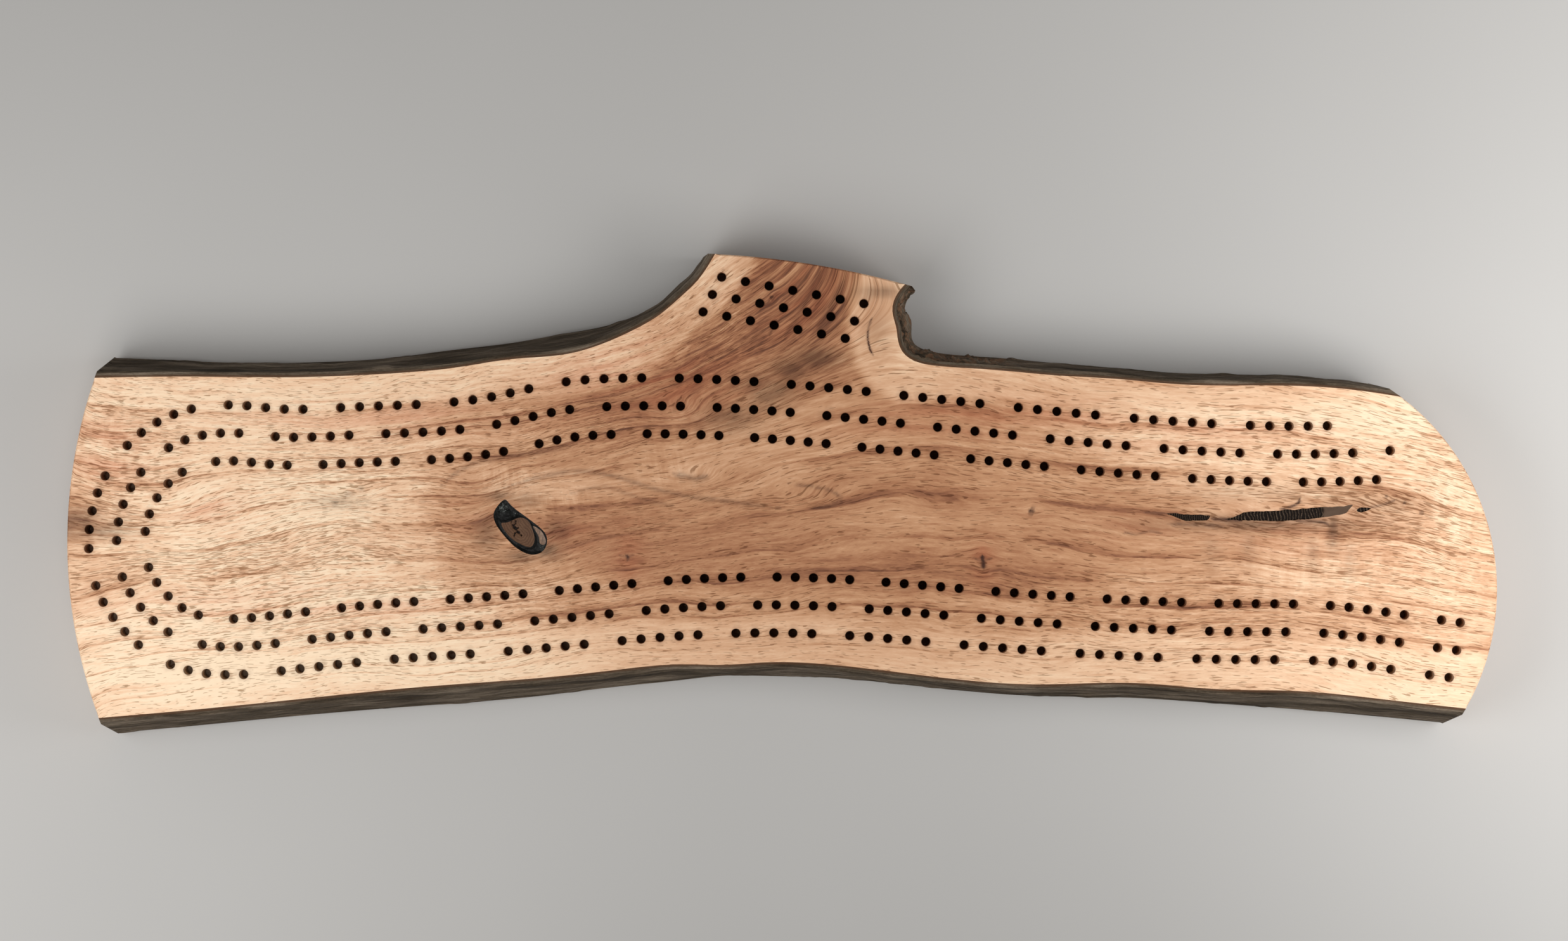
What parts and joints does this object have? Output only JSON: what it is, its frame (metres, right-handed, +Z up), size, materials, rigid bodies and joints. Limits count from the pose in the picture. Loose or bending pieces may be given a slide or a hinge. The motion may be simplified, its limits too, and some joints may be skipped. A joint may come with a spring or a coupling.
{
  "type": "cribbage board",
  "caption": "Live-edge wooden cribbage board with three peg lanes, game counters on a side branch, and pegs stored underneath behind a swivelling plate.",
  "frame": {"origin": "middle of the bounding box on the plane the feet stand on", "axes": "+X along the board towards the start and finish holes, +Y out along the branch, +Z up out of the playing face"},
  "size_m": [0.5012, 0.1699, 0.03],
  "materials": {
    "plank_wood": "oiled",
    "bark": "rough",
    "knot_wood": "oiled",
    "black_resin": "polished",
    "brass": "satin",
    "steel": "turned",
    "black_metal": "satin",
    "rubber": "matte"
  },
  "bodies": {
    "board": {"bark_edge_lower": "bark", "bark_edge_upper_left": "bark", "bark_edge_upper_right": "bark", "cover_pivot_screw": "brass", "crack_resin": "black_resin", "foot_branch": "rubber", "foot_lower_left": "rubber", "foot_lower_right": "rubber", "foot_upper_left": "rubber", "foot_upper_right": "rubber", "knot_heart": "knot_wood", "knot_resin": "black_resin", "knot_sliver": "knot_wood", "slab": "plank_wood"},
    "cover": {"storage_cover": "brass"},
    "peg_black_1": {"peg_black_1": "black_metal"},
    "peg_black_2": {"peg_black_2": "black_metal"},
    "peg_black_3": {"peg_black_3": "black_metal"},
    "peg_brass_1": {"peg_brass_1": "brass"},
    "peg_brass_2": {"peg_brass_2": "brass"},
    "peg_brass_3": {"peg_brass_3": "brass"},
    "peg_steel_1": {"peg_steel_1": "steel"},
    "peg_steel_2": {"peg_steel_2": "steel"},
    "peg_steel_3": {"peg_steel_3": "steel"}
  },
  "joints": [
    {"name": "cover_swivel", "type": "hinge", "parent": "board", "child": "cover", "pos_m": [0.062, -0.012, 0.0042], "axis": [0, 0, 1], "continuous": true},
    {"name": "peg_black_1_slide", "type": "slide", "parent": "board", "child": "peg_black_1", "axis": [1, 0, 0], "range_m": [-0.003, 0.0015]},
    {"name": "peg_black_2_slide", "type": "slide", "parent": "board", "child": "peg_black_2", "axis": [1, 0, 0], "range_m": [-0.003, 0.0015]},
    {"name": "peg_black_3_slide", "type": "slide", "parent": "board", "child": "peg_black_3", "axis": [1, 0, 0], "range_m": [-0.003, 0.0015]},
    {"name": "peg_brass_1_slide", "type": "slide", "parent": "board", "child": "peg_brass_1", "axis": [1, 0, 0], "range_m": [-0.0015, 0.003]},
    {"name": "peg_brass_2_slide", "type": "slide", "parent": "board", "child": "peg_brass_2", "axis": [1, 0, 0], "range_m": [-0.0015, 0.003]},
    {"name": "peg_brass_3_slide", "type": "slide", "parent": "board", "child": "peg_brass_3", "axis": [1, 0, 0], "range_m": [-0.0015, 0.003]},
    {"name": "peg_steel_1_slide", "type": "slide", "parent": "board", "child": "peg_steel_1", "axis": [1, 0, 0], "range_m": [-0.0015, 0.003]},
    {"name": "peg_steel_2_slide", "type": "slide", "parent": "board", "child": "peg_steel_2", "axis": [1, 0, 0], "range_m": [-0.0015, 0.003]},
    {"name": "peg_steel_3_slide", "type": "slide", "parent": "board", "child": "peg_steel_3", "axis": [1, 0, 0], "range_m": [-0.003, 0.0015]}
  ]
}
